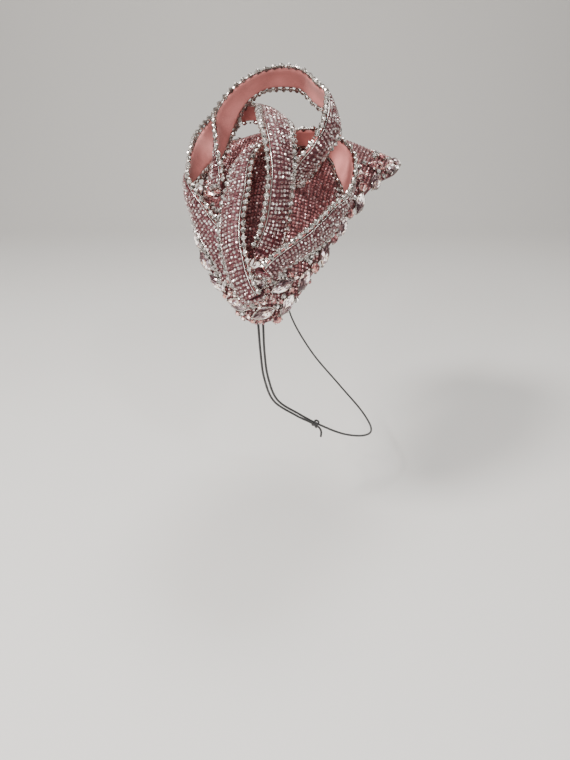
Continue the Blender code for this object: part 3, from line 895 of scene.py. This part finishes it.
class FASCINATOR_OT_ribbon_stones(BuildPiece, bpy.types.Operator):
    """Rows of small pink and clear stones on each ribbon's outer face, between two edge wires"""

    bl_idname = "fascinator.ribbon_stones"
    bl_label = "Ribbon mesh stones"

    def build(self, look):
        """Stones at one pitch along and across, seated on the band's arched outer face."""
        pitch = look.mesh_pitch / MM
        across = (np.arange(6) - 2.5)[:, None] * pitch
        share = across / (RIBBON_WIDTH / 2)
        height = RIBBON_CROWN * (1 - share**2) + RIBBON_THICKNESS / 2 - 0.1
        lean = -2 * RIBBON_CROWN * share / (RIBBON_WIDTH / 2)
        for number, (name, table) in enumerate(LOOPS.items(), 10):
            frames = ribbon_frame(table, even_places(table, pitch, 1.5))
            point, along, width, outward = (values[:, None] for values in frames)
            seat = point + width * across + outward * height
            up = unit(outward - width * lean)
            forward = np.broadcast_to(along, seat.shape)
            seats = tilted((seat, forward, np.cross(up, forward), up), RIBBON_TILT, number)
            add_stones(name + "_mesh_stones", mesh_stone(look), seats, "mixed_mesh_stone",
                       number)
            self.edge_wires(name, table)

    def edge_wires(self, name, table):
        """Two fine wires where the stones meet the edge chains."""
        point, _, width, outward = ribbon_frame(table, even_places(table, 1.2, 0.8))
        lines = [point + width * side * (RIBBON_WIDTH / 2 - 0.1) + outward * 1.15 for side in (-1, 1)]
        tubes = [ring_shape(tube_rings(line, 0.38, 6)) for line in lines]
        add_metal(name + "_edge_wires", merged(*tubes), smooth=True)


class FASCINATOR_OT_ribbon_ends(BuildPiece, bpy.types.Operator):
    """Ends of the ribbons, bent down and sewn to the base, with their small stones"""

    bl_idname = "fascinator.ribbon_ends"
    bl_label = "Ribbon ends"

    def build(self, look):
        """The band's cross-section carried down each end's curve while it narrows."""
        pitch = look.mesh_pitch / MM
        columns = (np.arange(7) - 3) * pitch
        bands, groups = [], []
        for table, place in ribbon_ends():
            path, forward, side, up, narrow = ribbon_tuck(table, place, TUCK_ROWS)
            rings = band_rings(path, side, up, narrow)
            turned = np.sum(np.cross(side[0], forward[0]) * up[0]) < 0
            bands.append(ring_shape(rings[:, ::-1] if turned else rings))
            count = max(4, round(step_lengths(path).sum() / pitch * 1.4))
            path, forward, side, up, narrow = ribbon_tuck(table, place, count)
            lift = RIBBON_CROWN * (1 - (columns / RIBBON_WIDTH * 2) ** 2) * narrow[:, None]
            lift = lift + RIBBON_THICKNESS / 2 - 0.1
            spots = path[:, None] + side[:, None] * (columns * narrow[:, None])[..., None]
            spots = spots + up[:, None] * lift[..., None]
            every = [np.broadcast_to(a[:, None], spots.shape) for a in (forward, side, up)]
            groups.append([a.reshape(-1, 3) for a in (spots, *every)])
        item = add_mesh("ribbon_end_bands", merged(*bands), "ribbon_backing", smooth=True)
        place_piece(item)
        add_stones("ribbon_end_stones", mesh_stone(look), tilted(joined_seats(groups), END_TILT, 40),
                   "mixed_mesh_stone", 14)


def joined_seats(groups):
    """Seats of several ribbon ends as one set, each squared to its outward direction."""
    point, forward, _, up = (np.vstack(group) for group in zip(*groups))
    return point, forward, np.cross(up, forward), up


class FASCINATOR_OT_edge_chains(BuildPiece, bpy.types.Operator):
    """Row of clear stones in silver cups along both edges of each ribbon"""

    bl_idname = "fascinator.edge_chains"
    bl_label = "Edge chains"

    def build(self, look):
        """A stone and its cup at every seat, and a stud in every link between."""
        radius = look.chain_stone / MM / 2
        stone = cut_stone(oval, radius, radius, 8, CHAIN_LEVELS)
        cup = pronged_cup(oval, radius, radius, 8, 1.4, (0, 90, 180, 270), 0.6)
        stud = cut_stone(oval, 0.8, 0.6, 6, STUD_LEVELS)
        edges = [(name, *edge) for name in LOOPS for edge in (("front", 1), ("back", -1))]
        for number, (name, label, side) in enumerate(edges, 21):
            seats, between = self.seats(LOOPS[name], side, look.chain_pitch / MM)
            seats = tilted(seats, CHAIN_TILT, 20 + number)
            add_stones(f"{name}_{label}_chain_stones", stone, seats, "clear_chain_stone",
                       number, nodes=[f"{name}_chain_{label}"])
            add_metal(f"{name}_{label}_chain_cups", merged(copies(cup, seats), copies(stud, between)))

    def seats(self, table, side, pitch):
        """Cups at one pitch on a line beside the band, and the links halfway between them."""
        places = even_places(table, pitch / 2, 2.2)
        places = places[: len(places) - 1 + len(places) % 2]
        point, along, width, outward = ribbon_frame(table, places)
        line = point + width * side * CHAIN_REACH + outward * (CHAIN_OUTWARD - 1.5)
        every = (line, along, np.cross(outward, along), outward)
        return [a[::2] for a in every], [a[1::2] for a in every]


class FASCINATOR_OT_rim_stones(BuildPiece, bpy.types.Operator):
    """Pointed-oval stones in clawed settings round the rim, and round rose stones between them"""

    bl_idname = "fascinator.rim_stones"
    bl_label = "Rim stones"

    def build(self, look):
        size = (NAVETTE_LENGTH / 2, NAVETTE_WIDTH / 2)
        stone = cut_stone(pointed_oval, *size, 12, NAVETTE_LEVELS)
        cup = pronged_cup(pointed_oval, *size, 16, 1.5, (0, 58, 122, 180, 238, 302), 0.8)
        set_stones("navette", NAVETTES, stone, cup, "pale_navette_stone", 30, 0.45)
        size = (ROUND_DIAMETER / 2, ROUND_DIAMETER / 2)
        stone = cut_stone(oval, *size, 10, ROUND_LEVELS)
        cup = pronged_cup(oval, *size, 12, 1.4, DIAGONALS, 0.9)
        set_stones("round", ROUNDS, stone, cup, "rose_round_stone", 40, 0.4)


class FASCINATOR_OT_accents(BuildPiece, bpy.types.Operator):
    """Small rose and clear stones that fill the trim between the larger ones"""

    bl_idname = "fascinator.accents"
    bl_label = "Small accent stones"

    def build(self, look):
        """Jittered rows over the tip and beside each rim, clear of larger stones and ribbons."""
        larger = [stone for table in (*NAVETTES.values(), *ROUNDS.values()) for stone in table]
        point, long_side, _, _ = stone_seats(larger, 0.0)
        taken = np.vstack([point, point + long_side * 4.5, point - long_side * 4.5])
        grid = (np.linspace(14.4, 124.5, 120), np.linspace(-0.96, 0.96, 39))
        arc, across = np.meshgrid(*grid, indexing="ij")
        jitter = random_values(2 * arc.size, 51).reshape(2, *arc.shape) - 0.5
        arc, across = arc + jitter[0] * 0.8, across + jitter[1] * 0.04
        wanted = (np.abs(across) > 0.74 + 0.05 * np.sin(arc * 0.45)) | (arc < 31)
        table = np.column_stack([arc[wanted], across[wanted], arc[wanted] * 7])
        seats = stone_seats(table, 0.3)
        free = clear_of(seats[0], taken, ACCENT_FROM_STONES)
        free &= clear_of(seats[0], all_ribbon_points(2.0), ACCENT_FROM_RIBBONS)
        order = np.argsort(random_values(len(table), 50))
        kept = thinned(seats[0], order[free[order]], ACCENT_SPACING)
        ends = self.end_seats()
        ends = [a[clear_of(ends[0], taken, END_ACCENT_FROM_STONES)] for a in ends]
        seats = [np.vstack([a[kept], end]) for a, end in zip(seats, ends)]
        shuffled = np.argsort(random_values(len(seats[0]), 52))
        seats = tilted([a[shuffled] for a in seats], ACCENT_TILT, 30)
        half = len(seats[0]) // 2
        stone = cut_stone(oval, ACCENT_RADIUS, ACCENT_RADIUS, 8, ACCENT_LEVELS)
        cup = pronged_cup(oval, ACCENT_RADIUS, ACCENT_RADIUS, 8, 0.8, DIAGONALS, 0.6)
        rose, clear = [a[:half] for a in seats], [a[half:] for a in seats]
        add_stones("rose_accent_stones", stone, rose, "rose_round_stone", 60)
        add_stones("clear_accent_stones", stone, clear, "clear_chain_stone", 61)
        add_metal("accent_settings", copies(cup, seats))

    def end_seats(self):
        """Two rows of seats across every ribbon's tucked end."""
        groups = []
        across = np.linspace(-5.8, 5.8, 5)[:, None]
        for table, place in ribbon_ends():
            path, forward, side, up, narrow = ribbon_tuck(table, place, TUCK_ROWS)
            for row in (2, 6):
                spots = path[row] + side[row] * across * narrow[row] + up[row] * 2.2
                directions = [np.broadcast_to(a[row], spots.shape) for a in (forward, side, up)]
                groups.append([spots, *directions])
        return joined_seats(groups)


def ribbon_tuck(table, place, count):
    """Ribbon end bent down to the base: a quadratic curve, narrowing, with its cross directions."""
    near = np.array([0.0, END_STEP]) if place == 0 else np.array([place - END_STEP, place])
    order = 1 if place == 0 else -1
    point, _, width, outward = (values[::order] for values in ribbon_frame(table, near))
    away = unit(point[0] - point[1])
    grid = base_point(np.linspace(0, len(BASE_TABLE) - 1, 160)[:, None], np.linspace(-1, 1, 41)[None])
    grid = grid.reshape(-1, 3)
    bend = point[0] + away * TUCK_REACH
    goal = grid[np.argmin(np.linalg.norm(grid - bend, axis=1))]
    t = np.linspace(0, 1, count)[:, None]
    start = point[0] - away * TUCK_OVERLAP
    path = (1 - t) ** 2 * start + 2 * t * (1 - t) * bend + t**2 * goal
    forward = unit(np.gradient(path, axis=0))
    side = squared(width[0], forward)
    up = np.cross(side, forward)
    up = up * np.sign(up[0] @ outward[0])
    return path, forward, side, up, 1 - TUCK_NARROWING * t[:, 0]


def ribbon_ends():
    return [(table, place) for table in LOOPS.values() for place in (0, len(table) - 1)]


def thinned(points, order, distance):
    """Indices taken in this order, leaving out any that lie too near one already taken."""
    kept = []
    for index in order:
        if all(np.linalg.norm(points[index] - points[other]) > distance for other in kept):
            kept.append(index)
    return np.array(kept)


class FASCINATOR_OT_elastic(BuildPiece, bpy.types.Operator):
    """Covered elastic under the chin, its doubled end and their knot"""

    bl_idname = "fascinator.elastic"
    bl_label = "Chin elastic"

    def build(self, look):
        knot = place_piece(self.knot(), ["elastic_knot"])
        main, main_path = self.strand("chin_elastic_cord", ELASTIC_ROUTE)
        second, second_path = self.strand("second_strand_cord", SECOND_STRAND_ROUTE)
        place_piece(main, ["chin_elastic"])
        place_piece(second, ["second_elastic_strand"])
        self.declare(main, main_path, "object", [])
        self.declare(second, second_path, "knot", [knot])

    def strand(self, name, table):
        """Circle carried along the route, with weave coordinates along and round it."""
        points = smooth_rows(table, even_places(table, CORD_STEP))
        shape = ring_shape(tube_rings(points, ELASTIC_DIAMETER / 2, CORD_SIDES))
        i, j = np.meshgrid(np.arange(len(points) - 1), np.arange(CORD_SIDES), indexing="ij")
        along = np.stack([i, i, i + 1, i + 1], -1) * CORD_STEP
        around = np.stack([j, j + 1, j + 1, j], -1) / CORD_SIDES
        uv = np.stack([along, around], -1).reshape(-1, 2)
        uv = np.vstack([uv, np.zeros((2 * CORD_SIDES, 2))])
        item = add_mesh(name, shape, "elastic_cover", smooth=True, uv=uv)
        return item, (points - CROWN_SEAT) * MM

    def knot(self):
        """Tube on a three-lobed knot curve: sin t + 2 sin 2t, cos t - 2 cos 2t, -1.1 sin 3t."""
        t = np.linspace(0, 2 * pi, 60, endpoint=False)
        lobes = (np.sin(t) + 2 * np.sin(2 * t), np.cos(t) - 2 * np.cos(2 * t))
        flat = np.stack([*lobes, -1.1 * np.sin(3 * t)], -1)
        up = unit(KNOT_DIRECTION)
        first = unit(np.cross(up, (0.0, 0.0, 1.0)))
        axes = np.stack([first, np.cross(up, first), up])
        points = KNOT_CENTRE + flat @ axes * KNOT_RADIUS / 3
        along = unit(np.roll(points, -1, 0) - np.roll(points, 1, 0))
        rings = circles(points, along, up, KNOT_CORD_DIAMETER / 2, CORD_SIDES)
        shape = ring_shape(rings, closed=True)
        return add_mesh("elastic_knot_tied", shape, "elastic_cover", smooth=True)

    def declare(self, item, path, far_end, pieces):
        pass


class FASCINATOR_OT_stage(BuildPiece, bpy.types.Operator):
    """Pale sweep, soft studio lights and the camera at the photograph's angle"""

    bl_idname = "fascinator.stage"
    bl_label = "Stage, lights and camera"

    def build(self, look):
        self.sweep()
        self.camera()
        for light in LIGHTS:
            self.light(*light)
        world = bpy.data.worlds.new("studio_air")
        world.use_nodes = True
        ground = world.node_tree.nodes["Background"]
        ground.inputs["Color"].default_value = (*WORLD_COLOUR, 1.0)
        ground.inputs["Strength"].default_value = WORLD_STRENGTH
        bpy.context.scene.world = world

    def sweep(self):
        """Profile in Y and Z carried along X: flat floor, quarter-circle bend, straight wall."""
        angle = np.linspace(0, pi / 2, 24)
        bend_radius, start, half = 0.5, 0.9, 3.0
        y = np.concatenate([[-2.5], start + bend_radius * np.sin(angle), [start + bend_radius]])
        z = np.concatenate([[0.0], bend_radius * (1 - np.cos(angle)), [2.6]]) + FLOOR_HEIGHT
        profile = np.column_stack([np.zeros(len(y)), y, z])
        ends = np.stack([profile - (half, 0, 0), profile + (half, 0, 0)], 1)
        i = np.arange(len(y) - 1) * 2
        corners = np.stack([i, i + 1, i + 3, i + 2], -1).ravel()
        shape = Shape(ends.reshape(-1, 3) / MM + CROWN_SEAT, corners, np.full(len(i), 4))
        add_mesh("studio_sweep", shape, "stage_paper", smooth=True)

    def light(self, name, place, size, power, colour):
        data = bpy.data.lights.new(name, "AREA")
        data.shape = "DISK"
        data.size = size
        data.energy = power
        data.color = colour
        item = bpy.data.objects.new(name, data)
        bpy.context.scene.collection.objects.link(item)
        item.location = place
        aim = Vector((0.0, -0.03, -0.02)) - Vector(place)
        item.rotation_euler = aim.to_track_quat("-Z", "Y").to_euler()

    def camera(self):
        data = bpy.data.cameras.new("photo_camera")
        data.sensor_width = SENSOR
        data.lens = FOCAL_PIXELS / PHOTO_HEIGHT_PIXELS * SENSOR
        data.clip_start = 0.01
        item = bpy.data.objects.new("photo_camera", data)
        bpy.context.scene.collection.objects.link(item)
        item.location = CAMERA_PLACE
        item.rotation_euler = (radians(90 - CAMERA_PITCH_DEGREES), 0, 0)
        bpy.context.scene.camera = item


OPERATORS = (
    FASCINATOR_OT_stage,
    FASCINATOR_OT_elastic,
    FASCINATOR_OT_base,
    FASCINATOR_OT_base_stones,
    FASCINATOR_OT_ribbons,
    FASCINATOR_OT_ribbon_stones,
    FASCINATOR_OT_ribbon_ends,
    FASCINATOR_OT_edge_chains,
    FASCINATOR_OT_rim_stones,
    FASCINATOR_OT_accents,
)


class FASCINATOR_PT_panel(bpy.types.Panel):
    """Lists the settings and one button for each group of pieces"""

    bl_idname = "FASCINATOR_PT_panel"
    bl_label = "Fascinator"
    bl_space_type = "VIEW_3D"
    bl_region_type = "UI"
    bl_category = "Fascinator"

    def draw(self, context):
        for key in FascinatorSettings.__annotations__:
            self.layout.prop(context.scene.fascinator, key)
        for operator in OPERATORS:
            self.layout.operator(operator.bl_idname)


def register():
    for item in (FascinatorSettings, *OPERATORS, FASCINATOR_PT_panel):
        bpy.utils.register_class(item)
    bpy.types.Scene.fascinator = bpy.props.PointerProperty(type=FascinatorSettings)


def unregister():
    del bpy.types.Scene.fascinator
    for item in (FASCINATOR_PT_panel, *reversed(OPERATORS), FascinatorSettings):
        bpy.utils.unregister_class(item)


def main():
    """Build every piece in order."""
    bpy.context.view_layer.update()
    register()
    for operator in OPERATORS:
        group, name = operator.bl_idname.split(".")
        getattr(getattr(bpy.ops, group), name)()
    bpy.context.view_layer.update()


if __name__ == "__main__":
    main()
